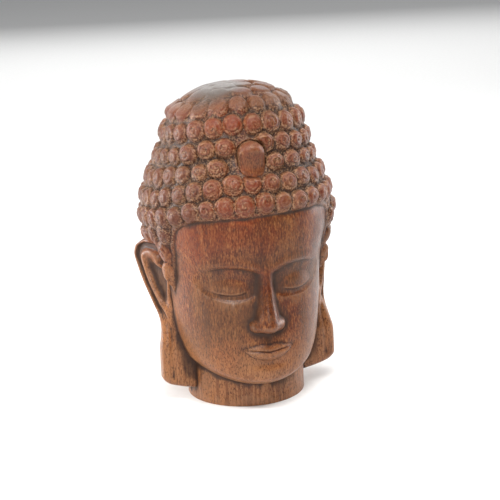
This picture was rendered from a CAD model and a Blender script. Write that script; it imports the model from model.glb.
"""A carved wooden head with snail-shell curls, as it looks: fine carving, oiled hardwood, soft studio light.

The head is shaped by the same rules as its solid, in metres, +Z up, facing -Y, but on a finer grid
and with the finer cuts on it: the spiral in each curl, the lip of the hairline, the lines of the
lids and lips, the folds of the ears and the marks of the knife.
"""

import math

import bmesh
import bpy
import numpy as np
from mathutils import Matrix, Vector


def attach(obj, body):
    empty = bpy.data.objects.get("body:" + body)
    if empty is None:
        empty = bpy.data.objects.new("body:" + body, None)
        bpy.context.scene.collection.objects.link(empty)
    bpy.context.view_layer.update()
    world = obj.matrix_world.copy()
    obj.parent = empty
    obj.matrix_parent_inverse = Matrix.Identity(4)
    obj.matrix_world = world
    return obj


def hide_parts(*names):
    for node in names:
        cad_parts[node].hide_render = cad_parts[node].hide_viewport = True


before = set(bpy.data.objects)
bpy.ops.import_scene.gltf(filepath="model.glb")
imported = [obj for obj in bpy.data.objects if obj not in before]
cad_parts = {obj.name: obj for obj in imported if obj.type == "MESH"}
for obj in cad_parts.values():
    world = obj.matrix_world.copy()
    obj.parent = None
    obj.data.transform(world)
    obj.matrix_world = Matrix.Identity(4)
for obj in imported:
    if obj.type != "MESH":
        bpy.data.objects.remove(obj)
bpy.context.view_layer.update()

# The head's height, and the unit that its free form is carved in. The values of the face and the
# ears are all in that unit.
HEIGHT = 0.200
UNIT = HEIGHT / 200.0

# Sizes that are set by themselves. The curls' pitches, their rise and the hair's step over the
# face, the jewel on the crown's front, and the thickness of the straps that the lobes hang in.
NECK_RADIUS = 0.0377
CURL_PITCH = 0.0114
CURL_ROW_PITCH = 0.0120
CURL_RISE = 0.0044
HAIR_STEP = 0.0028
JEWEL_WIDTH = 0.0160
JEWEL_HEIGHT = 0.0212
JEWEL_RISE = 0.0100
LOBE_THICKNESS = 0.0150

# The core without hair or features, as stations up the head: height, front, back, widest line and
# half width. Front, back and widest line are counted from the neck's axis.
CORE_STATIONS = np.array([
    (15.0, 37.7, 37.7, 0.0, 37.7),
    (18.0, 47.0, 38.0, 0.0, 39.5),
    (23.0, 52.5, 38.5, 1.0, 42.0),
    (33.0, 54.0, 40.0, 2.0, 44.5),
    (48.0, 53.5, 47.0, 4.0, 47.0),
    (64.0, 52.0, 57.0, 6.0, 49.0),
    (82.0, 52.0, 64.0, 8.0, 50.5),
    (98.0, 55.0, 67.5, 9.0, 52.0),
    (110.0, 56.5, 69.0, 9.0, 54.8),
    (122.0, 56.0, 69.0, 8.5, 55.8),
    (134.0, 53.5, 67.0, 8.0, 53.0),
    (145.0, 48.5, 62.5, 8.0, 49.0),
    (155.0, 42.5, 57.0, 7.5, 44.2),
    (166.0, 38.5, 53.0, 7.0, 41.2),
    (176.0, 35.0, 48.5, 6.5, 38.5),
    (183.0, 31.5, 45.0, 6.5, 35.5),
    (188.0, 24.5, 37.5, 6.5, 28.5),
]) * UNIT
SECTION_POWER = 2.15

# The crown's edge: its skin turns inward through this radius. From there the bed between the curls
# rises to the middle, a groove's depth below the worn top. The top is worn to a cap, given as
# distances from its middle and falls from the head's height. The cap lies this far to the head's
# left of the crown's middle, and a distance straight ahead counts for this share less in it.
CROWN_EDGE_RADIUS = 3.0 * UNIT
CROWN_GROOVE = 2.6 * UNIT
CAP_PROFILE = np.array([
    (0.0, 0.0),
    (14.0, 0.8),
    (23.0, 3.0),
    (29.0, 5.8),
    (34.0, 8.6),
    (40.0, 12.0),
    (46.0, 16.4),
    (52.0, 24.0),
    (64.0, 50.0),
]) * UNIT
CAP_SHIFT = 2.2 * UNIT
CAP_FLATTENING = 0.20

# The crown's shoulder is rubbed to a slope on its right and back: around this angle from the front
# it starts at this radius and height and falls with this slope, and opposite it is out of reach.
SHOULDER_ANGLE = math.radians(-115.0)
SHOULDER_RADIUS = 33.5 * UNIT
SHOULDER_HEIGHT = 190.6 * UNIT
SHOULDER_SLOPE = 0.66
SHOULDER_CLEARANCE = 14.0 * UNIT

# How far the jaw's lower edge climbs from the chin to the ears, and the heights between which that
# climb sets in and dies away again.
JAW_RISE = 11.0 * UNIT
JAW_START = (3.0 * UNIT, 15.0 * UNIT)
JAW_END = (24.0 * UNIT, 48.0 * UNIT)

# The hairline, as angles from the front in degrees and heights: forehead, temple, sideburn, over
# the ear and down behind it to the nape. It climbs by this share of the way across to the head's
# left. Its slope is taken around a head of the mean radius.
HAIRLINE_ANGLES = (0, 22, 42, 54, 60, 64, 67, 69, 72, 77, 80, 84, 90, 103, 107, 109, 112, 120, 136, 158, 180)
HAIRLINE_HEIGHTS = np.array(
    (128.5, 128, 126.5, 122.5, 118, 107, 95, 84, 76, 83, 93, 99, 101, 101, 92, 79, 63, 52, 46, 43, 42)
) * UNIT
HAIRLINE_ROLL = 0.035
HEAD_RADIUS = 57.0 * UNIT

# The rows of curls fall away towards the back with this slope, as far round as this cosine, and
# roll towards the head's right with this one. The rows over these two lie more and more level.
ROW_TILT = 0.193
ROW_TILT_END = -0.30
ROW_ROLL = 0.089
ROWS_LEVELLING = (1.0, 8.5)

# The sideburn's long locks, as angles from the front in degrees, heights, half widths and half
# lengths, and their rise as a share of a curl's. Between these angles and below this height they take
# the place of round curls.
SIDEBURN_LOCKS = (
    (69.0, 114.0, 6.2, 7.4),
    (81.0, 111.0, 5.6, 8.0),
    (73.0, 101.0, 6.4, 8.2),
    (72.5, 87.0, 4.8, 9.0),
)
LOCK_RISE = 0.75
SIDEBURN_ANGLES = (62.0, 88.0)
SIDEBURN_TOP = 119.0 * UNIT

# The jewel's middle, the share of its height that rises over that to a round top, the margins around
# it, as shares of its sizes, that curls keep clear of, and how far it thins out towards its foot.
JEWEL_CENTRE_X = -3.4 * UNIT
JEWEL_CENTRE_Z = 162.3 * UNIT
JEWEL_HEAD_SHARE = 0.41
JEWEL_MARGIN_ACROSS = 1.25
JEWEL_MARGIN_UP = 1.2
JEWEL_THINNING = 0.93

# A curl's radius below and on the crown, the crown's wider pitch, the first row's distance from the
# hairline, the least distance that any curl keeps from it and a curl's random shift, as shares of the
# curls' pitch, and the range of its random size.
CURL_RADIUS = 0.57
CROWN_CURL_RADIUS = 0.66
CROWN_PITCH_GAIN = 1.25
FIRST_ROW_INSET = 0.52
HAIRLINE_CLEARANCE = 0.30
CURL_SHIFT = 0.06
CURL_SIZES = (0.93, 1.07)

# Each curl leans out: its rise grows by this share at its upper edge and shrinks by it at its lower.
CURL_LEAN = 0.32

# The hair's step over the face: this share of it stands up at the hairline, and the rest follows
# over this width.
HAIR_EDGE_SHARE = 0.45
HAIR_SLOPE_WIDTH = 6.0 * UNIT

# Face: heights of its thirds and of its eye and mouth lines, and the middles of its features.
BROW_Z = 93.0
EYE_Z = 82.0
NOSE_BASE_Z = 55.0
MOUTH_Z = 42.0
CHIN_Z = 25.0
EYE_X = 21.5
EYE_HALF_WIDTH = 12.5
NOSE_HALF_WIDTH = 10.5
MOUTH_HALF_WIDTH = 16.0

# The nose, as stations up its ridge: height, how far the ridge stands out, and its half width.
NOSE_STATIONS = np.array([
    (50.0, -4.0, 6.0),
    (52.5, 0.0, 6.2),
    (54.0, 5.0, 6.8),
    (56.0, 9.6, 7.4),
    (58.5, 11.6, 7.6),
    (62.0, 11.2, 6.8),
    (72.0, 8.2, 5.8),
    (84.0, 5.2, 5.4),
    (92.0, 3.0, 6.2),
    (101.0, 0.2, 9.0),
    (112.0, -5.0, 12.0),
])

# The face's soft swellings and dips: cheeks, the mound that the mouth lies on, chin, the dip under
# the lip and the one over it. Each has a rise, a middle across and up, and a reach across and up.
FACE_SWELLINGS = (
    (1.6, 27.0, 60.0, 15.0, 15.0),
    (2.2, 0.0, MOUTH_Z + 1.0, 17.0, 13.0),
    (2.4, 0.0, CHIN_Z, 12.0, 7.5),
    (-1.7, 0.0, 33.0, 12.0, 2.8),
    (-0.7, 0.0, 50.5, 2.0, 3.0),
)

# Ears, as stations up them: height, front edge x and y, back edge x and y, and thickness as a share
# of the lobes'. A lobe is a thick strap that faces forward, and above it the ear turns along the
# head. The left lobe hangs shorter and flares out. The last four are the depths of the groove beside
# the rim, the lobe's flute and the hollow, and the rise in front of the hollow.
EAR_STATIONS = np.array([
    (7.0, 30.0, -5.0, 36.0, -5.0, 0.60),
    (9.0, 30.0, -5.0, 45.0, -4.5, 0.80),
    (12.0, 30.0, -5.0, 54.0, -4.0, 0.93),
    (16.0, 30.0, -4.5, 57.0, -4.0, 1.00),
    (32.0, 31.0, -4.5, 57.0, -3.0, 1.00),
    (44.0, 35.0, -4.0, 55.0, 0.5, 0.93),
    (54.0, 41.0, -4.5, 53.5, 5.5, 0.80),
    (64.0, 44.5, -5.0, 56.0, 11.5, 0.68),
    (76.0, 46.5, -5.0, 59.8, 18.0, 0.60),
    (86.0, 47.3, -5.0, 62.0, 23.0, 0.57),
    (92.0, 47.8, -4.8, 63.0, 25.0, 0.55),
    (97.0, 48.4, -3.5, 62.4, 23.6, 0.53),
    (101.0, 49.2, -1.0, 60.6, 18.6, 0.48),
    (103.5, 50.2, 2.0, 58.2, 15.4, 0.40),
    (105.0, 51.6, 5.5, 55.6, 11.0, 0.32),
])
EAR_TOP = 104.6
LEFT_LOBE_LIFT = 3.0
LEFT_LOBE_FLARE = 2.0
RIM_GROOVE = 2.3
FLUTE_DEPTH = 0.9
CONCHA_DEPTH = 3.8
TRAGUS_RISE = 1.6

# The finer cuts. Each curl below the crown has a spiral groove that ends in a pit, on a flat-topped
# knob: the power sets how flat. The hair's edge carries a lip, marked off by a groove.
SPIRAL_PITCH = 2.5 * UNIT
SPIRAL_WIDTH = 0.50 * UNIT
SPIRAL_DEPTH = 0.46 * UNIT
KNOB_POWER = 2.1
PIT_DEPTH = 0.6 * UNIT
JEWEL_RIM = 0.6 * UNIT
LIP_WIDTH = 2.4 * UNIT
LIP_GROOVE = 0.55 * UNIT

# Curls around the jewel set in between these shares of the way from its middle to its edge.
CURLS_FADE = (1.00, 1.24)

# The knife's facets are this deep. They cover the hair and, below these heights, the neck.
FACET_DEPTH = 0.05 * UNIT
FACETS_FADE = (24.0 * UNIT, 14.0 * UNIT)

# The patch on top that is rubbed smooth: its middle and its reach, across and along, how far it
# slants to the head's right as it runs to the front, and how smooth it is rubbed.
WORN_MIDDLE = (-9.0 * UNIT, 4.0 * UNIT)
WORN_REACH = (17.0 * UNIT, 25.0 * UNIT)
WORN_SLANT = 0.3
WORN_SMOOTHNESS = 0.85

# The grids' step, how far the skin runs on below the saw cut, and the finished mesh's triangles.
# Beyond this reach from the middle, corners this close together become one. Edges sharper than this
# angle are shaded as edges.
GRID_STEP = 0.6 * UNIT
SAW_ALLOWANCE = 5.0 * UNIT
TRIANGLES = 190000
WELD_REACH = 54.0 * UNIT
WELD_DISTANCE = 0.12 * UNIT
SHARP_ANGLE = math.radians(50.0)
VARIATION_SEED = 7

# The reliefs stored for the material: how many rounds of smoothing each is measured against, and
# the rise that counts as full.
RELIEFS = {"fine_relief": (4, 0.25 * UNIT), "broad_relief": (40, 1.4 * UNIT)}

# The wood's noises: the scale of heights in each, which draws it out along the grain, and its own
# scale, detail, roughness and distortion.
WOOD_NOISES = {
    "figure": (0.16, 95.0, 5.0, 0.50, 0.7),
    "grain": (0.17, 1250.0, 2.0, 0.60, 0.0),
    "speckle": (0.45, 1350.0, 2.0, 0.70, 0.0),
    "vessels": (0.19, 1500.0, 1.0, 0.50, 0.0),
    "streaks": (0.03, 620.0, 3.0, 0.60, 0.0),
    "patches": (1.0, 17.0, 3.0, 0.55, 0.4),
    "mottle": (1.0, 210.0, 4.0, 0.65, 0.0),
    "flecks": (1.0, 900.0, 2.0, 0.70, 0.0),
}

# The noises' shares in the wood's tone, and the colours that the tone runs through.
TONE_WEIGHTS = {"figure": 0.26, "grain": 0.40, "speckle": 0.34}
WOOD_TONES = (
    (0.39, (0.034, 0.006, 0.002)),
    (0.47, (0.090, 0.020, 0.005)),
    (0.53, (0.155, 0.042, 0.011)),
    (0.61, (0.275, 0.108, 0.034)),
)

# The places between which the wood's looks change: behind the ears, at the lobes, down the neck,
# off the ears, and on the head's right side and top. The lobes are streaked by this share.
BEHIND_EAR_Y = (0.017, 0.025)
LOBE_X = (0.042, 0.052)
LOBE_Z = (0.105, 0.080)
GOLDEN_NECK_Z = (0.062, 0.016)
STREAKED_NECK_Z = (0.034, 0.022)
OFF_EAR_X = (0.051, 0.046)
OFF_EAR_Z = (0.104, 0.110)
SHADED_X = (-0.026, -0.050)
SHADED_Z = (0.184, 0.190)
LOBE_STREAKS = 0.6

# Stains in the hair, as middles and radii: grey dirt beside the jewel, and a clear orange-red on the
# crown and on the curls over the forehead.
STAINS = {
    "grey_stain": ((0.032, -0.036, 0.150), 0.021),
    "crown_stain": ((-0.014, -0.034, 0.182), 0.016),
    "front_stain": ((-0.015, -0.056, 0.142), 0.021),
}

# Pores set in between these values of their noise, hollows and the curls' flanks between these of
# the broad relief, and flecks stand out between these of the wear. The jewel is this far kept clean.
PORES = (0.57, 0.68)
HOLLOWS = (0.0, -0.70)
FLANKS = (0.75, 0.10)
SMOOTH_WEAR = (0.5, 0.0)
JEWEL_CLEANNESS = 0.80

# The tints laid over the wood, from the first to the last. Each has its colour, its strength and the
# shares that it is the product of: one by its name alone, or with the two values that it is taken
# between, from 0 to 1 or from the third value to the fourth.
TINTS = {
    "orange": ((0.190, 0.032, 0.005), 1.0, ("patches", 0.46, 0.64), ("height", 0.060, 0.125, 0.12, 0.50)),
    "brown": ((0.105, 0.050, 0.020), 1.0, ("patches", 0.54, 0.38), ("height", 0.050, 0.140, 0.50, 0.30)),
    "golden": ((0.330, 0.138, 0.054), 0.80, ("golden_place",), ("speckle", 0.30, 0.50)),
    "streaks": ((0.100, 0.028, 0.010), 0.60, ("streaks", 0.48, 0.58), ("streaked_place",)),
    "grey": ((0.034, 0.023, 0.023), 0.80, ("grey_stain",), ("mottle", 0.35, 0.60)),
    "red crown": ((0.330, 0.046, 0.008), 0.60, ("crown_stain",), ("mottle", 0.30, 0.60)),
    "red front": ((0.330, 0.046, 0.008), 0.50, ("front_stain",), ("mottle", 0.30, 0.60)),
    "pores": ((0.018, 0.006, 0.003), 0.60, ("pores",)),
    "rubbed edges": ((0.290, 0.150, 0.080), 0.30, ("fine_relief", 0.25, 0.90)),
    "chipped edges": (
        (0.400, 0.210, 0.110), 1.0, ("fine_relief", 0.38, 0.80), ("flecks", 0.46, 0.56), ("carved",),
        ("height", 0.174, 0.188, 0.60, 0.25),
    ),
    "dusty upper sides": (
        (0.340, 0.170, 0.085), 1.0, ("facing_up", 0.30, 0.75), ("hair",), ("broad_relief", -0.10, 0.30),
        ("speckle", 0.38, 0.56), ("height", 0.174, 0.188, 0.50, 0.12),
    ),
    "dark cuts": ((0.020, 0.007, 0.005), 0.75, ("fine_relief", -0.10, -0.80)),
    "red knobs": (
        (0.130, 0.019, 0.006), 0.60, ("broad_relief", 0.20, 0.48), ("height", 0.190, 0.186), ("hair",),
        ("mottle", 0.35, 0.55),
    ),
    "pale rings": (
        (0.400, 0.215, 0.115), 1.0, ("broad_relief", -0.12, 0.06), ("broad_relief", 0.36, 0.16), ("carved",),
        ("flecks", 0.45, 0.55), ("height", 0.190, 0.184, 0.20, 0.50),
    ),
    "dark lower sides": (
        (0.030, 0.008, 0.005), 1.0, ("facing_up", -0.05, -0.60), ("hair",),
        ("height", 0.130, 0.150, 0.12, 0.60),
    ),
    "shaded side and top": ((0.030, 0.009, 0.004), 0.36, ("shaded_place",), ("carved",)),
    "warm jewel": ((0.290, 0.105, 0.045), 0.25, ("on_jewel",), ("speckle", 0.36, 0.56)),
    "dusty hollows": ((0.036, 0.017, 0.010), 0.75, ("hollows",)),
    "dirt": ((0.022, 0.010, 0.006), 0.55, ("flanks",), ("flecks", 0.49, 0.40)),
    "dust": ((0.300, 0.165, 0.085), 0.60, ("flanks",), ("flecks", 0.51, 0.60)),
    "worn top": ((0.096, 0.088, 0.076), 0.95, ("worn",)),
}

# The wood's sheen and its relief too fine for the mesh.
ROUGHNESS_WEIGHTS = {"mottle": 0.24, "hollows": 0.25}
LEAST_ROUGHNESS = 0.24
RELIEF_WEIGHTS = {"speckle": 0.50, "mottle": 0.35, "pores": -0.50, "rough_flecks": 3.2}
RELIEF_SETTINGS = {"Strength": 0.55, "Distance": 0.00028}
SHEEN = {"Specular IOR Level": 0.27, "Coat Weight": 0.05, "Coat Roughness": 0.16}

# The camera's place around the head's axis and over the ground, its roll, its lens and sensor in
# millimetres, and the point that it looks at: this far to its right of the axis and up.
CAMERA_AZIMUTH = math.radians(-16.0)
CAMERA_DISTANCE = 1.06
CAMERA_HEIGHT = 0.39
CAMERA_ROLL = math.radians(-2.2)
LENS = 123.8
SENSOR_WIDTH = 36.0
AIM_RIGHT = 0.0058
AIM_HEIGHT = 0.0922

# The softboxes: azimuth and elevation in degrees, distance, width, height and power. Around them is
# an even surround of this colour and strength.
SOFTBOXES = {
    "left_softbox": (-119.0, 4.0, 0.75, 0.15, 0.9, 12.5),
    "right_softbox": (104.0, 18.0, 0.9, 0.25, 0.8, 7.0),
    "back_softbox": (168.0, 20.0, 1.6, 1.6, 0.7, 8.0),
    "ceiling_softbox": (0.0, 89.0, 2.2, 3.2, 3.2, 34.0),
    "top_softbox": (-6.0, 60.0, 0.9, 0.4, 0.25, 5.0),
    "front_softbox": (-34.0, 26.0, 1.2, 0.3, 0.3, 8.0),
}
SURROUND_COLOUR = (0.93, 0.95, 1.0, 1.0)
SURROUND_STRENGTH = 0.12


def smooth_step(low, high, value):
    """0 below low and 1 above high, with an S-curve between them."""
    share = np.clip((value - low) / (high - low), 0.0, 1.0)
    return share * share * (3.0 - 2.0 * share)


def smooth_max(first, second, blend):
    """The greater of two heights, with the crease where they meet rounded off."""
    share = np.clip(0.5 + 0.5 * (first - second) / blend, 0.0, 1.0)
    return second + (first - second) * share + blend * share * (1.0 - share)


def bell(value, width):
    """A soft bump of height one around zero."""
    return np.exp(-((value / width) ** 2))


def dome(across, up):
    """A round dome of height one over the circle of radius one."""
    return np.sqrt(np.clip(1.0 - across**2 - up**2, 0.0, 1.0))


def curve_through(knots, values, wanted):
    """A smooth curve through the knots that never swings past them."""
    span = np.diff(knots)
    slope = np.diff(values) / span
    tangent = np.zeros(len(values))
    tangent[0], tangent[-1] = slope[0], slope[-1]
    turning = slope[:-1] * slope[1:] <= 0.0
    left_weight = 2.0 * span[1:] + span[:-1]
    right_weight = span[1:] + 2.0 * span[:-1]
    safe_left = np.where(turning, 1.0, slope[:-1])
    safe_right = np.where(turning, 1.0, slope[1:])
    mean = (left_weight + right_weight) / (left_weight / safe_left + right_weight / safe_right)
    tangent[1:-1] = np.where(turning, 0.0, mean)
    index = np.clip(np.searchsorted(knots, wanted) - 1, 0, len(span) - 1)
    width = span[index]
    share = np.clip((wanted - knots[index]) / width, 0.0, 1.0)
    rest = 1.0 - share
    start = values[index] * (1.0 + 2.0 * share) + tangent[index] * width * share
    end = values[index + 1] * (3.0 - 2.0 * share) - tangent[index + 1] * width * rest
    return rest * rest * start + share * share * end


def read_stations(stations, level):
    """Each column's value between the stations, at a place along the first column."""
    return [curve_through(stations[:, 0], column, level) for column in stations.T[1:]]


def crown_start():
    """The height where the crown's side starts to turn inward."""
    return CORE_STATIONS[-1, 0]


def crown_middle():
    """How far behind the neck's axis the middle of the crown's top lies."""
    return 0.5 * (CORE_STATIONS[-1, 2] - CORE_STATIONS[-1, 1])


def core_point(angle, height, shrink):
    """The core's skin at an angle from the front, a height, and a share of the section's size."""
    sine, cosine = np.sin(angle), np.cos(angle)
    jaw = smooth_step(*JAW_START, height) * (1.0 - smooth_step(*JAW_END, height))
    level = height - JAW_RISE * sine**2 * jaw
    level = np.clip(level, CORE_STATIONS[0, 0], crown_start())
    front, back, middle, half_width = read_stations(CORE_STATIONS, level)
    on_neck = 1.0 - smooth_step(CORE_STATIONS[0, 0], CORE_STATIONS[2, 0], level)
    power = 2.0 / (SECTION_POWER + (2.0 - SECTION_POWER) * on_neck)
    across = np.sign(sine) * np.abs(sine) ** power
    along = np.sign(cosine) * np.abs(cosine) ** power
    depth = np.where(cosine > 0.0, front + middle, back - middle)
    neck_change = NECK_RADIUS - CORE_STATIONS[0, 4]
    x = (half_width + neck_change * on_neck) * across
    y = middle - (depth + neck_change * on_neck) * along
    centre = crown_middle()
    return np.stack([x * shrink, centre + (y - centre) * shrink, height + 0.0 * x], axis=-1)


def cap_height(radius):
    """The height of the worn cap at a distance from its middle."""
    return HEIGHT - read_stations(CAP_PROFILE, radius)[0]


def worn_top(points):
    """The height that the worn cap allows at each point."""
    across = points[..., 0] - CAP_SHIFT
    behind = points[..., 1] - crown_middle()
    ahead = smooth_step(0.0, -1.0, behind / np.maximum(np.hypot(across, behind), UNIT))
    return cap_height(np.hypot(across, behind * (1.0 - CAP_FLATTENING * ahead)))


def worn_shoulder(points):
    """The height that the rubbed shoulder allows at each point."""
    x, y = points[..., 0], points[..., 1] - crown_middle()
    radius = np.hypot(x, y)
    facing = (x * math.sin(SHOULDER_ANGLE) - y * math.cos(SHOULDER_ANGLE)) / np.maximum(radius, UNIT)
    clearance = SHOULDER_CLEARANCE * smooth_step(0.7, -0.3, facing)
    return SHOULDER_HEIGHT - SHOULDER_SLOPE * (radius - SHOULDER_RADIUS) + clearance


def crown_edge_rise(radius):
    """How far the crown's edge climbs from its start to the rim of the bed."""
    return cap_height(radius - CROWN_EDGE_RADIUS) - HAIR_STEP - CROWN_GROOVE - crown_start()


def skin_rows(step):
    """Heights and shrinks of the grid's rows: up the side, round the crown's edge, over the top."""
    side = np.arange(-SAW_ALLOWANCE, crown_start(), step)
    turn = np.arange(0.0, 0.5 * math.pi, step / CROWN_EDGE_RADIUS)
    radius = CORE_STATIONS[-1, 4]
    flat = np.arange(radius - CROWN_EDGE_RADIUS, 0.4 * step, -step)
    edge_height = crown_start() + crown_edge_rise(radius) * np.sin(turn)
    edge_shrink = 1.0 - CROWN_EDGE_RADIUS * (1.0 - np.cos(turn)) / radius
    bed = cap_height(flat) - HAIR_STEP - CROWN_GROOVE
    heights = np.concatenate([side, edge_height, bed])
    shrinks = np.concatenate([np.ones(len(side)), edge_shrink, flat / radius])
    return heights, shrinks


def hairline_distance(angle, height):
    """How far a place lies inside the hair, measured square to the hairline."""
    degrees = np.abs(np.degrees(np.mod(angle + math.pi, 2.0 * math.pi) - math.pi))
    line = np.interp(degrees, HAIRLINE_ANGLES, HAIRLINE_HEIGHTS)
    ahead = np.interp(degrees + 1.0, HAIRLINE_ANGLES, HAIRLINE_HEIGHTS)
    slope = (ahead - line) / (HEAD_RADIUS * math.radians(1.0))
    line = line + HAIRLINE_ROLL * HEAD_RADIUS * np.sin(angle)
    return (height - line) / np.sqrt(1.0 + slope**2)


def hair_share(inside):
    """0 on the face and 1 in the hair, at a distance inside the hairline."""
    return smooth_step(-0.8 * UNIT, 1.2 * UNIT, inside)


def hair_step(inside):
    """The height of the hair's ground over the face's skin, at a distance inside the hairline."""
    edge = smooth_step(-0.6 * UNIT, 0.8 * UNIT, inside)
    slope = smooth_step(0.0, HAIR_SLOPE_WIDTH, inside)
    return HAIR_STEP * (HAIR_EDGE_SHARE * edge + (1.0 - HAIR_EDGE_SHARE) * slope)


def jewel_place(points):
    """Places across and up the jewel, from its middle, as shares of its half sizes."""
    across = (points[..., 0] - JEWEL_CENTRE_X) / (0.5 * JEWEL_WIDTH)
    up = points[..., 2] - JEWEL_CENTRE_Z
    up = up / (JEWEL_HEIGHT * np.where(up > 0.0, JEWEL_HEAD_SHARE, 1.0 - JEWEL_HEAD_SHARE))
    behind = points[..., 1] > 0.0
    return np.where(behind, 9.0, across), up


def jewel_distance(points):
    """The share of the way from the jewel's middle to its edge: round above, squarer below."""
    across, up = jewel_place(points)
    power = np.where(up > 0.0, 2.0, 3.2)
    return (np.abs(across) ** power + np.abs(up) ** power) ** (1.0 / power)


def jewel_rise(points):
    """The jewel's boss on the front of the crown: a full dome above that thins out below like a thumb."""
    across, up = jewel_place(points)
    rise = JEWEL_RISE * dome(across, np.maximum(up, 0.0))
    return rise * (1.0 - JEWEL_THINNING * smooth_step(0.5, -1.05, up))


def row_dip(row, ring):
    """How far a row of curls sinks around the head, from its height at the front."""
    back = ROW_TILT * (1.0 - np.maximum(np.cos(ring), ROW_TILT_END))
    return HEAD_RADIUS * (back - ROW_ROLL * np.sin(ring) ** 3) * smooth_step(*ROWS_LEVELLING[::-1], row)


def in_sideburn(angle, height):
    """Whether a place lies in front of the ear, where long locks take the place of round curls."""
    degrees = abs(math.degrees(math.remainder(angle, 2.0 * math.pi)))
    return SIDEBURN_ANGLES[0] < degrees < SIDEBURN_ANGLES[1] and height < SIDEBURN_TOP


def curl_fits(place, angle, height):
    """Whether a curl at this place lies well inside the hair and clear of the jewel and sideburn."""
    across, up = jewel_place(place)
    clear = math.hypot(across / JEWEL_MARGIN_ACROSS, up / JEWEL_MARGIN_UP) >= 1.0
    inside = hairline_distance(angle, height) >= HAIRLINE_CLEARANCE * CURL_PITCH
    return inside and clear and not in_sideburn(angle, height)


def length_along(points):
    """The length run through a line of points, from zero at the first."""
    return np.concatenate([[0.0], np.cumsum(np.linalg.norm(np.diff(points, axis=0), axis=1))])


def curl_places(step):
    """Each curl's place on the core, its way up the grid's rows, and its half sizes and rise."""
    heights, shrinks = skin_rows(step)
    path = length_along(core_point(np.full(len(heights), 0.5 * math.pi), heights, shrinks))
    hairline_path = np.interp(HAIRLINE_HEIGHTS[0], heights, path)
    first = hairline_path + FIRST_ROW_INSET * CURL_ROW_PITCH
    rows_below = int(hairline_path / CURL_ROW_PITCH)
    rows_above = int((path[-1] - first) / CURL_ROW_PITCH)
    chance = np.random.default_rng(VARIATION_SEED)
    ring = np.linspace(0.0, 2.0 * math.pi, 721)
    curls = []
    for row in range(-rows_below, rows_above + 1):
        ring_path = first + row * CURL_ROW_PITCH - row_dip(row, ring)
        ring_height = np.interp(ring_path, path, heights)
        around = length_along(core_point(ring, ring_height, np.interp(ring_path, path, shrinks)))
        pitch = CURL_PITCH * (CROWN_PITCH_GAIN if ring_height.mean() > crown_start() else 1.0)
        count = max(1, round(around[-1] / pitch))
        shifts = chance.uniform(-CURL_SHIFT, CURL_SHIFT, (2, count))
        sizes = chance.uniform(*CURL_SIZES, count)
        places = (np.arange(count) + 0.5 * (row % 2)) / count * around[-1] + shifts[0] * CURL_PITCH
        angles = np.interp(np.mod(places, around[-1]), around, ring)
        paths = np.interp(angles, ring, ring_path) + shifts[1] * CURL_ROW_PITCH
        for angle, along, size in zip(angles, paths, sizes):
            height = np.interp(along, path, heights)
            place = core_point(np.array(angle), np.array(height), np.interp(along, path, shrinks))
            if curl_fits(place, angle, height):
                share = CROWN_CURL_RADIUS if height > crown_start() else CURL_RADIUS
                radius = share * CURL_PITCH * size
                curls.append((place, along, radius, radius, CURL_RISE * size))
    for degrees, height, half_width, half_length in np.array(SIDEBURN_LOCKS):
        along = np.interp(height * UNIT, heights, path)
        for angle in (math.radians(degrees), -math.radians(degrees)):
            place = core_point(np.array(angle), np.array(height * UNIT), 1.0)
            curls.append((place, along, half_width * UNIT, half_length * UNIT, LOCK_RISE * CURL_RISE))
    return curls, path


def curl_frame(place):
    """Directions across, up and out of the core at a curl's place."""
    outward = Vector((place[0], place[1] - crown_middle(), 0.25 * (place[2] - CHIN_Z * UNIT)))
    if place[2] > crown_start():
        outward = Vector((0.4 * place[0], 0.4 * (place[1] - crown_middle()), CORE_STATIONS[-1, 4]))
    outward.normalize()
    upward = (Vector((0.0, 0.0, 1.0)) - outward * outward.z).normalized()
    return np.array(upward.cross(outward)), np.array(upward), np.array(outward)


def curl_rise(points, step):
    """The rise of the highest curl at each point of the skin, with the spiral cut into it."""
    curls, path = curl_places(step)
    rise = np.zeros(points.shape[:2])
    chance = np.random.default_rng(VARIATION_SEED + 1)
    for place, along, half_width, half_length, height in curls:
        rows = np.flatnonzero(np.abs(path - along) < 1.6 * half_length)
        rows = slice(rows[0], rows[-1] + 1)
        columns = np.flatnonzero(np.abs(points[rows] - place).max(axis=2).min(axis=0) < 1.3 * half_length)
        away = points[rows][:, columns] - place
        across, upward, _ = curl_frame(place)
        sideways, lengthways = away @ across, away @ upward
        if half_length > half_width:
            distance = np.linalg.norm(away / (half_width, half_width, half_length), axis=-1)
        else:
            distance = np.linalg.norm(away, axis=-1) / half_width
        lean = 1.0 + CURL_LEAN * np.clip(away[..., 2] / half_length, -1.0, 1.0)
        knob = height * lean * np.clip(1.0 - distance**KNOB_POWER, 0.0, 1.0) ** 0.75
        turned = np.arctan2(lengthways, sideways) / (2.0 * math.pi) + chance.uniform()
        phase = np.mod(distance * half_width / SPIRAL_PITCH - turned * np.sign(place[0] + 0.001), 1.0)
        groove = bell((phase - 0.5) * SPIRAL_PITCH, SPIRAL_WIDTH)
        groove = groove * smooth_step(0.10, 0.22, distance) * smooth_step(1.0, 0.86, distance)
        pit = bell(np.hypot(sideways, lengthways - 0.12 * half_length), 0.27 * half_width)
        cuts = SPIRAL_DEPTH * groove + PIT_DEPTH * pit
        knob = np.maximum(knob - cuts * (place[2] < crown_start()), 0.0)
        rise[rows, columns] = np.maximum(rise[rows, columns], knob)
    return rise


def socket_depth(x, z):
    """The hollow under each brow, deepest beside the nose."""
    across = (np.abs(x) - 20.0) / 20.5
    up = (z - 87.0) / 14.0
    return 7.0 * np.clip(1.0 - across**2 - up**2, 0.0, 1.0)


def brow_line(x):
    """The height of the brow's edge: a long arch that springs from the nose."""
    across = (np.abs(x) - 22.0) / 24.0
    return BROW_Z + 4.0 - 9.0 * across**2


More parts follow.
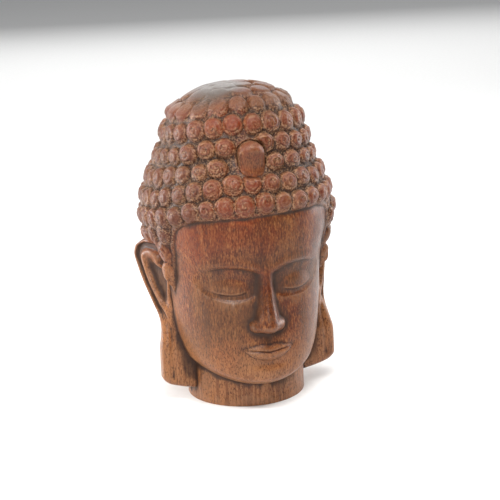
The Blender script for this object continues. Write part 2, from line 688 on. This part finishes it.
def eyelid_rise(x, z):
    """A full, lowered lid over the ball of the eye, parted from the lower lid by a thin line."""
    across = (np.abs(x) - EYE_X) / (EYE_HALF_WIDTH + 1.5)
    ball = dome(across, (z - EYE_Z) / 8.6)
    over_lashes = z - (EYE_Z - 4.4 + 3.2 * across**2)
    along = smooth_step(1.08, 0.85, np.abs(across))
    margin = bell(over_lashes - 1.1, 0.9) * along
    slit = bell(over_lashes, 0.65) * along
    lower = smooth_step(0.3, -0.6, over_lashes)
    return 8.2 * ball + 0.5 * margin - 1.5 * slit - lower * ball


def nose_rise(x, z):
    """The bridge, the tip and the two wings of the nose, with a shallow nostril under each wing."""
    ridge, width = read_stations(NOSE_STATIONS, z)
    bridge = ridge - 6.5 * (np.abs(x) / width) ** 2.2
    across = (np.abs(x) - 0.62 * NOSE_HALF_WIDTH) / (0.50 * NOSE_HALF_WIDTH)
    wing = 6.6 * dome(across, (z - NOSE_BASE_Z - 3.4) / 4.8) - 0.8
    return smooth_max(bridge, wing, 3.2) - 1.4 * bump(x, z, 4.3, 52.6, 2.0, 1.3)


def mouth_rise(x, z):
    """Full closed lips with a bowed upper edge and slightly lifted corners."""
    side = np.abs(x) / MOUTH_HALF_WIDTH
    within = dome(side, 0.0)
    parting = MOUTH_Z + 1.3 * side**2 - 0.5 * bell(x, 3.5)
    above = (z - parting) / np.maximum(5.0 * (1.0 - side**1.6) - 0.7 * bell(x, 2.4), 0.1)
    below = (parting - z) / np.maximum(5.8 * (1.0 - side**2.4), 0.1)
    share = np.where(z > parting, above, below)
    full = 1.6 + np.where(z > parting, 0.0, 0.6 * np.sin(math.pi * np.clip(share, 0.0, 1.0)))
    lips = full * dome(share, 0.0) * within
    corner = bump(x, z, MOUTH_HALF_WIDTH, MOUTH_Z + 1.3, 3.0, 2.2)
    return lips - 0.9 * corner - 1.1 * bell(z - parting, 0.6) * within


def bump(x, z, middle_x, middle_z, reach_x, reach_z):
    """A soft swelling of height one on both halves of the face."""
    return np.exp(-(((np.abs(x) - middle_x) / reach_x) ** 2 + ((z - middle_z) / reach_z) ** 2))


def face_rise(points):
    """How far the face stands out from the core, towards the front."""
    x, y, z = (points[..., axis] / UNIT for axis in range(3))
    over_brow = z - brow_line(x)
    rise = -socket_depth(x, z) * smooth_step(1.2, -4.0, over_brow)
    rise = rise + 1.3 * bell(over_brow - 2.0, 4.0) * smooth_step(46.0, 30.0, np.abs(x))
    rise = smooth_max(rise, eyelid_rise(x, z) - 7.0, 0.7)
    for height, *middle_and_reach in FACE_SWELLINGS:
        rise = rise + height * bump(x, z, *middle_and_reach)
    rise = smooth_max(rise + mouth_rise(x, z), nose_rise(x, z), 2.0)
    return UNIT * rise * smooth_step(2.0, -14.0, y) * smooth_step(16.0, 21.0, z)


def tool_marks(points, amount):
    """Shallow facets that the knife leaves, as a sum of waves with slowly turning crests."""
    x, y, z = (points[..., axis] / UNIT for axis in range(3))
    around = np.arctan2(x, -y) * 50.0
    marks = np.sin(0.55 * around + 1.3 * np.sin(0.09 * z) + 0.8 * np.sin(0.21 * z + 0.11 * around))
    marks = marks + 0.8 * np.sin(0.43 * z + 1.7 * np.sin(0.13 * around) + 0.6)
    return amount * marks


def worn_share(points):
    """Where the top is rubbed smooth, from 0 to 1: a patch on its right that runs on to the front."""
    x, y = points[..., 0], points[..., 1]
    across = (x - WORN_MIDDLE[0] - WORN_SLANT * np.minimum(y, 0.0)) / WORN_REACH[0]
    along = (y - WORN_MIDDLE[1]) / WORN_REACH[1]
    return WORN_SMOOTHNESS * smooth_step(1.25, 0.55, np.hypot(across, along))


def skin_points(step):
    """The whole skin as rows of points, each row a ring around the head, up to the middle of the top."""
    heights, shrinks = skin_rows(step)
    count = 2 * round(math.pi * 60.0 * UNIT / step)
    angles = np.linspace(0.0, 2.0 * math.pi, count, endpoint=False)
    angle, height = np.meshgrid(angles, heights)
    shrink = np.repeat(shrinks[:, None], count, axis=1)
    core = core_point(angle, height, shrink)
    around = np.roll(core, -1, axis=1) - np.roll(core, 1, axis=1)
    upward = np.gradient(core, axis=0)
    outward = np.cross(around, upward)
    outward /= np.linalg.norm(outward, axis=-1, keepdims=True)
    inside = hairline_distance(angle, height)
    hair = hair_share(inside)
    on_jewel = jewel_distance(core)
    curls = curl_rise(core, step) * smooth_step(*CURLS_FADE, on_jewel)
    lip = LIP_GROOVE * bell(inside - LIP_WIDTH, 0.5 * UNIT)
    rise = hair_step(inside) + hair * (curls - lip * smooth_step(0.5 * UNIT, 0.0, curls))
    rise = np.maximum(rise, np.where(on_jewel < 1.0, HAIR_STEP + jewel_rise(core), 0.0))
    rim = bell(on_jewel - 1.11, 0.055) * smooth_step(-0.9, 0.1, jewel_place(core)[1])
    rise = rise + JEWEL_RIM * rim
    marks = tool_marks(core, FACET_DEPTH) * np.maximum(hair, smooth_step(*FACETS_FADE, height))
    skin = core + outward * (rise + marks)[..., None]
    skin[..., 1] -= (1.0 - hair) * face_rise(core)
    ground = core + outward * hair_step(inside)[..., None]
    skin[..., 2] -= np.maximum(ground[..., 2] + CROWN_GROOVE - worn_shoulder(ground), 0.0)
    top = np.minimum(worn_top(skin), worn_shoulder(skin))
    worn = worn_share(core) * (core[..., 2] > crown_start())
    skin[..., 2] = np.minimum(skin[..., 2], top)
    skin[..., 2] += worn * (top - skin[..., 2])
    return skin


def finished(shape, mesh):
    """The mesh, with the shape that was built or edited written into it."""
    shape.to_mesh(mesh)
    shape.free()
    return mesh


def mesh_from_rings(name, rings):
    """A closed mesh from rows of rings, each end closed by one flat face."""
    rows, count = rings.shape[:2]
    shape = bmesh.new()
    corners = [[shape.verts.new(point) for point in ring] for ring in rings.tolist()]
    for row in range(rows - 1):
        low, high = corners[row], corners[row + 1]
        for place in range(count):
            after = (place + 1) % count
            shape.faces.new((low[place], low[after], high[after], high[place]))
    shape.faces.new(reversed(corners[0]))
    shape.faces.new(corners[-1])
    mesh = finished(shape, bpy.data.meshes.new(name))
    mesh.shade_smooth()
    return mesh


def distance_to_rim(across, width, height):
    """How far a place on an ear lies from its outline: the back edge, the arch of the top and, high up,
    the front edge, where the rim curls down into the hollow."""
    open_front = 40.0 * smooth_step(90.0, 76.0, height)
    ways = ((1.0 - across) * width, 1.1 * (EAR_TOP - height) + 0.0 * across, across * width + open_front)
    return sum(np.maximum(way, 0.1) ** -3.0 for way in ways) ** (-1.0 / 3.0)


def ear_points(side, step):
    """Rings up one ear, its outer face carved with the rim, the groove beside it and the hollow."""
    heights = np.arange(EAR_STATIONS[0, 0], EAR_STATIONS[-1, 0], step / UNIT)
    columns = (values[:, None] for values in read_stations(EAR_STATIONS, heights))
    front_x, front_y, back_x, back_y, thickness = columns
    width = np.hypot(back_x - front_x, back_y - front_y)
    along_x, along_y = (back_x - front_x) / width, (back_y - front_y) / width
    turn = np.linspace(0.0, 2.0 * math.pi, 2 * round(30.0 * UNIT / step) + 16, endpoint=False)[None, :]
    across = 0.5 - 0.5 * np.cos(turn)
    face = np.sin(turn)
    depth = 0.5 * thickness * LOBE_THICKNESS / UNIT * np.sign(face) * np.abs(face) ** 0.45
    height = heights[:, None]
    from_front, from_back = across * width, (1.0 - across) * width
    from_edge = distance_to_rim(across, width, height)
    shell = smooth_step(50.0, 60.0, height)
    channel = smooth_step(2.4, 3.9, from_edge) * smooth_step(8.6, 6.4, from_edge)
    hollow = smooth_step(9.4, 13.0, from_edge) * smooth_step(58.0, 70.0, height)
    hollow = hollow * smooth_step(1.5, 6.0, from_front)
    tragus = bell(from_front - 4.0, 3.0) * bell(height - 68.0, 6.0)
    flute = smooth_step(54.0, 46.0, height) * smooth_step(13.0, 18.0, height) * bell(from_back - 6.4, 1.4)
    outward = smooth_step(0.0, 0.5, face)
    depth = depth - outward * (RIM_GROOVE * shell * channel + CONCHA_DEPTH * hollow)
    depth = depth + outward * (TRAGUS_RISE * tragus - FLUTE_DEPTH * flute)
    x = front_x + along_x * from_front + along_y * depth
    y = front_y + along_y * from_front - along_x * depth
    if side > 0:
        x = x + LEFT_LOBE_FLARE * across * smooth_step(62.0, 36.0, height)
        height = height + LEFT_LOBE_LIFT * smooth_step(60.0, 15.0, height)
    points = UNIT * np.stack([side * x, y, height + 0.0 * x], axis=-1)
    return points if side > 0 else points[:, ::-1]


def join(target, other, operation):
    """Join another shape to the target, or cut it away, and throw the other shape away."""
    modifier = target.modifiers.new(operation.lower(), "BOOLEAN")
    modifier.object = other
    modifier.operation = operation
    modifier.solver = "MANIFOLD"
    settle(target)
    bpy.data.objects.remove(other)


def settle(thing):
    """Turn what the object's modifiers give into its own mesh."""
    shape = bpy.data.meshes.new_from_object(thing.evaluated_get(bpy.context.evaluated_depsgraph_get()))
    thing.modifiers.clear()
    thing.data = shape


def weld_sides(mesh):
    """Close the slivers at the ears' joins, where corners that nearly touch become one."""
    shape = bmesh.new()
    shape.from_mesh(mesh)
    outer = [corner for corner in shape.verts if abs(corner.co.x) > WELD_REACH]
    bmesh.ops.remove_doubles(shape, verts=outer, dist=WELD_DISTANCE)
    finished(shape, mesh)


def new_object(name, mesh):
    """An object in the scene that shows the mesh."""
    thing = bpy.data.objects.new(name, mesh)
    bpy.context.collection.objects.link(thing)
    return thing


def saw_block():
    """The block of space below the head's flat underside."""
    shape = bmesh.new()
    bmesh.ops.create_cube(shape, size=1.0)
    reach = 3.0 * NECK_RADIUS
    bmesh.ops.scale(shape, vec=(reach, reach, 4.0 * SAW_ALLOWANCE), verts=shape.verts)
    bmesh.ops.translate(shape, vec=(0.0, 0.0, -2.0 * SAW_ALLOWANCE), verts=shape.verts)
    return finished(shape, bpy.data.meshes.new("saw_block"))


def carve_head():
    """The head as one closed mesh: skin, ears and the flat saw cut below, with even triangles."""
    head = new_object("carved_head_fine", mesh_from_rings("carved_head_fine", skin_points(GRID_STEP)))
    for side, name in ((-1.0, "right_ear"), (1.0, "left_ear")):
        join(head, new_object(name, mesh_from_rings(name, ear_points(side, GRID_STEP))), "UNION")
    join(head, new_object("saw_block", saw_block()), "DIFFERENCE")
    thinning = head.modifiers.new("thinning", "DECIMATE")
    thinning.ratio = TRIANGLES / sum(len(face.vertices) - 2 for face in head.data.polygons)
    thinning.use_collapse_triangulate = True
    settle(head)
    weld_sides(head.data)
    head.data.name = "carved_head_fine"
    head.data.shade_smooth()
    head.data.set_sharp_from_angle(angle=SHARP_ANGLE)
    return head


def read_values(things, name, width, kind=float):
    """A value of each of the mesh's corners or edges, as rows of the given width."""
    values = np.empty(width * len(things), dtype=kind)
    things.foreach_get(name, values)
    return values.reshape(-1, width)


def store(mesh, name, values):
    """Store a value for each corner of the mesh, for the material to read."""
    mesh.attributes.new(name, "FLOAT", "POINT").data.foreach_set("value", values.astype(np.float32))


def mark_relief(mesh, name, rounds, full):
    """Store how far each point stands out of its surroundings, as a share of a full relief."""
    count = len(mesh.vertices)
    places = read_values(mesh.vertices, "co", 3)
    normals = read_values(mesh.vertices, "normal", 3)
    ends = read_values(mesh.edges, "vertices", 2, np.int32)
    here = np.concatenate([ends[:, 0], ends[:, 1]])
    there = np.concatenate([ends[:, 1], ends[:, 0]])
    neighbours = np.bincount(here, minlength=count)
    even = places.copy()
    for _ in range(rounds):
        for axis in range(3):
            total = np.bincount(here, weights=even[there, axis], minlength=count)
            even[:, axis] = 0.5 * even[:, axis] + 0.5 * total / neighbours
    relief = np.einsum("ij,ij->i", places - even, normals) / full
    store(mesh, name, np.clip(relief, -1.0, 1.0))


def core_angle(points):
    """The angle from the front, on the core's own section, that places on the skin lie at."""
    level = np.clip(points[..., 2], CORE_STATIONS[0, 0], crown_start())
    front, back, middle, half_width = read_stations(CORE_STATIONS, level)
    across = points[..., 0] / half_width
    along = middle - points[..., 1]
    along = along / np.where(along > 0.0, front + middle, back - middle)
    sine = np.sign(across) * np.abs(across) ** (0.5 * SECTION_POWER)
    cosine = np.sign(along) * np.abs(along) ** (0.5 * SECTION_POWER)
    return np.arctan2(sine, cosine)


def mark_wear(mesh):
    """Store where the top is rubbed smooth, where the jewel and the hair are, and how far points face up."""
    points = read_values(mesh.vertices, "co", 3)
    from_jewel = jewel_distance(points)
    inside = hairline_distance(core_angle(points), points[:, 2])
    store(mesh, "worn", worn_share(points) * (points[:, 2] > crown_start()))
    store(mesh, "on_jewel", smooth_step(1.02, 0.96, from_jewel))
    store(mesh, "by_jewel", smooth_step(1.60, 1.20, from_jewel))
    store(mesh, "in_hair", hair_share(inside))
    store(mesh, "facing_up", read_values(mesh.vertices, "normal", 3)[:, 2])


class Nodes:
    """Adds nodes to a material, and links every input that is given a socket."""

    def __init__(self, name):
        self.material = bpy.data.materials.new(name)
        self.material.use_nodes = True
        self.tree = self.material.node_tree
        self.shader = self.tree.nodes["Principled BSDF"]

    def fill(self, node, inputs):
        for name, value in inputs.items():
            if isinstance(value, bpy.types.NodeSocket):
                self.tree.links.new(value, node.inputs[name])
            else:
                node.inputs[name].default_value = value

    def add(self, kind, inputs, **settings):
        node = self.tree.nodes.new(kind)
        for name, value in settings.items():
            setattr(node, name, value)
        self.fill(node, inputs)
        return node

    def noise(self, vector, scale, detail, roughness=0.5, distortion=0.0):
        inputs = {"Vector": vector, "Scale": scale, "Detail": detail, "Roughness": roughness}
        return self.add("ShaderNodeTexNoise", {**inputs, "Distortion": distortion}).outputs["Fac"]

    def stretched(self, vector, height_scale):
        inputs = {"Vector": vector, "Scale": (1.0, 1.0, height_scale)}
        return self.add("ShaderNodeMapping", inputs).outputs["Vector"]

    def math(self, operation, first, *others):
        for other in others:
            first = self.add("ShaderNodeMath", {0: first, 1: other}, operation=operation).outputs[0]
        return first

    def times(self, *values):
        return self.math("MULTIPLY", *values)

    def most(self, *values):
        return self.math("MAXIMUM", *values)

    def rest(self, share):
        return self.math("SUBTRACT", 1.0, share)

    def weighted(self, shares, weights):
        return self.math("ADD", *(self.times(shares[name], weight) for name, weight in weights.items()))

    def between(self, value, low, high, to_low=0.0, to_high=1.0):
        inputs = {"Value": value, "From Min": low, "From Max": high, "To Min": to_low, "To Max": to_high}
        return self.add("ShaderNodeMapRange", inputs, interpolation_type="SMOOTHSTEP").outputs["Result"]

    def mix(self, share, first, second):
        node = self.add("ShaderNodeMix", {}, data_type="RGBA")
        self.fill(node, {0: share, 6: first, 7: second})
        return node.outputs[2]

    def ramp(self, value, *stops):
        node = self.add("ShaderNodeValToRGB", {"Fac": value})
        elements = node.color_ramp.elements
        while len(elements) < len(stops):
            elements.new(0.5)
        for element, (position, colour) in zip(elements, stops):
            element.position = position
            element.color = (*colour, 1.0)
        return node.outputs["Color"]

    def near(self, place, centre, radius):
        node = self.add("ShaderNodeVectorMath", {0: place, 1: centre}, operation="DISTANCE")
        return self.between(node.outputs["Value"], 1.3 * radius, 0.4 * radius)

    def attribute(self, name):
        return self.add("ShaderNodeAttribute", {}, attribute_name=name).outputs["Fac"]


def wood_shares(nodes, place):
    """The shares that the wood's tints go by: noises, marks stored on the mesh, stains and places."""
    shares = {name: nodes.near(place, *stain) for name, stain in STAINS.items()}
    for name, (height_scale, *settings) in WOOD_NOISES.items():
        shares[name] = nodes.noise(nodes.stretched(place, height_scale), *settings)
    for name in ("fine_relief", "broad_relief", "facing_up", "worn", "on_jewel"):
        shares[name] = nodes.attribute(name)
    split = nodes.add("ShaderNodeSeparateXYZ", {"Vector": place})
    side, depth, height = (split.outputs[axis] for axis in "XYZ")
    across = nodes.math("ABSOLUTE", side, 0.0)
    behind_ear = nodes.between(depth, *BEHIND_EAR_Y)
    lobe = nodes.times(nodes.between(across, *LOBE_X), nodes.between(height, *LOBE_Z), nodes.rest(behind_ear))
    off_ear = nodes.most(nodes.between(across, *OFF_EAR_X), nodes.between(height, *OFF_EAR_Z), behind_ear)
    hair = nodes.times(nodes.attribute("in_hair"), off_ear)
    carved = nodes.times(hair, nodes.rest(shares["on_jewel"]))
    off_jewel = nodes.rest(nodes.times(nodes.attribute("by_jewel"), JEWEL_CLEANNESS))
    rough = nodes.times(carved, nodes.between(shares["worn"], *SMOOTH_WEAR))
    streaked_neck = nodes.between(height, *STREAKED_NECK_Z)
    return shares | {
        "height": height,
        "hair": hair,
        "carved": carved,
        "golden_place": nodes.most(nodes.between(height, *GOLDEN_NECK_Z), lobe),
        "streaked_place": nodes.most(streaked_neck, nodes.times(lobe, LOBE_STREAKS)),
        "shaded_place": nodes.most(nodes.between(side, *SHADED_X), nodes.between(height, *SHADED_Z)),
        "pores": nodes.between(shares["vessels"], *PORES),
        "hollows": nodes.times(nodes.between(shares["broad_relief"], *HOLLOWS), off_jewel),
        "flanks": nodes.times(nodes.between(shares["broad_relief"], *FLANKS), carved),
        "rough_flecks": nodes.times(shares["flecks"], rough),
    }


def hardwood():
    """Oiled reddish-brown hardwood: upright figure, fine grain and pores, dust in the cuts, worn edges."""
    nodes = Nodes("oiled_hardwood")
    place = nodes.add("ShaderNodeTexCoord", {}).outputs["Object"]
    shares = wood_shares(nodes, place)
    wood = nodes.ramp(nodes.weighted(shares, TONE_WEIGHTS), *WOOD_TONES)
    for colour, strength, *factors in TINTS.values():
        parts = [nodes.between(shares[name], *ends) if ends else shares[name] for name, *ends in factors]
        wood = nodes.mix(nodes.times(*parts, strength), wood, (*colour, 1.0))
    roughness = nodes.math("ADD", nodes.weighted(shares, ROUGHNESS_WEIGHTS), LEAST_ROUGHNESS)
    relief = {"Height": nodes.weighted(shares, RELIEF_WEIGHTS), **RELIEF_SETTINGS}
    normal = nodes.add("ShaderNodeBump", relief).outputs["Normal"]
    nodes.fill(nodes.shader, {"Base Color": wood, "Roughness": roughness, "Normal": normal, **SHEEN})
    return nodes.material


def paper():
    """The pale ground that the head stands on."""
    nodes = Nodes("pale_paper")
    place = nodes.add("ShaderNodeTexCoord", {}).outputs["Object"]
    fibres = nodes.noise(place, 260.0, 4.0)
    tone = nodes.ramp(fibres, (0.3, (0.84, 0.84, 0.83)), (0.7, (0.88, 0.88, 0.87)))
    nodes.fill(nodes.shader, {"Base Color": tone, "Roughness": nodes.between(fibres, 0.3, 0.7, 0.75, 0.9)})
    return nodes.material


def add_floor():
    """A wide floor under the head."""
    shape = bmesh.new()
    bmesh.ops.create_grid(shape, x_segments=4, y_segments=4, size=6.0)
    floor = new_object("floor", finished(shape, bpy.data.meshes.new("floor")))
    floor.data.materials.append(paper())


def add_camera():
    """The camera at the photograph's angle: a little to the head's right and above it."""
    camera = new_object("camera", bpy.data.cameras.new("camera"))
    camera.data.lens = LENS
    camera.data.sensor_width = SENSOR_WIDTH
    sine, cosine = math.sin(CAMERA_AZIMUTH), math.cos(CAMERA_AZIMUTH)
    camera.location = (sine * CAMERA_DISTANCE, -cosine * CAMERA_DISTANCE, CAMERA_HEIGHT)
    back = camera.location - Vector((cosine * AIM_RIGHT, sine * AIM_RIGHT, AIM_HEIGHT))
    turn = back.to_track_quat("Z", "Y").to_matrix() @ Matrix.Rotation(CAMERA_ROLL, 3, "Z")
    camera.rotation_euler = turn.to_euler()
    bpy.context.scene.camera = camera


def add_softbox(name, azimuth, elevation, distance, width, height, power):
    """A rectangular softbox that faces the head, its azimuth counted from the front like a view's."""
    light = bpy.data.lights.new(name, "AREA")
    light.shape = "RECTANGLE"
    light.size, light.size_y = width, height
    light.energy = power
    a, e = math.radians(azimuth), math.radians(elevation)
    back = Vector((math.sin(a) * math.cos(e), -math.cos(a) * math.cos(e), math.sin(e)))
    lamp = new_object(name, light)
    lamp.location = Vector((0.0, 0.0, 0.5 * HEIGHT)) + back * distance
    lamp.rotation_euler = back.to_track_quat("Z", "Y").to_euler()


def light_studio():
    """Softboxes on both sides and overhead, and an even pale surround."""
    for name, values in SOFTBOXES.items():
        add_softbox(name, *values)
    world = bpy.data.worlds.new("studio")
    world.use_nodes = True
    surround = world.node_tree.nodes["Background"]
    surround.inputs["Color"].default_value = SURROUND_COLOUR
    surround.inputs["Strength"].default_value = SURROUND_STRENGTH
    bpy.context.scene.world = world
    bpy.context.scene.view_settings.view_transform = "Standard"


add_camera()
head = carve_head()
for relief, (rounds, full) in RELIEFS.items():
    mark_relief(head.data, relief, rounds, full)
mark_wear(head.data)
head.data.materials.clear()
head.data.materials.append(hardwood())
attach(head, "root")
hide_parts("carved_head")
add_floor()
light_studio()
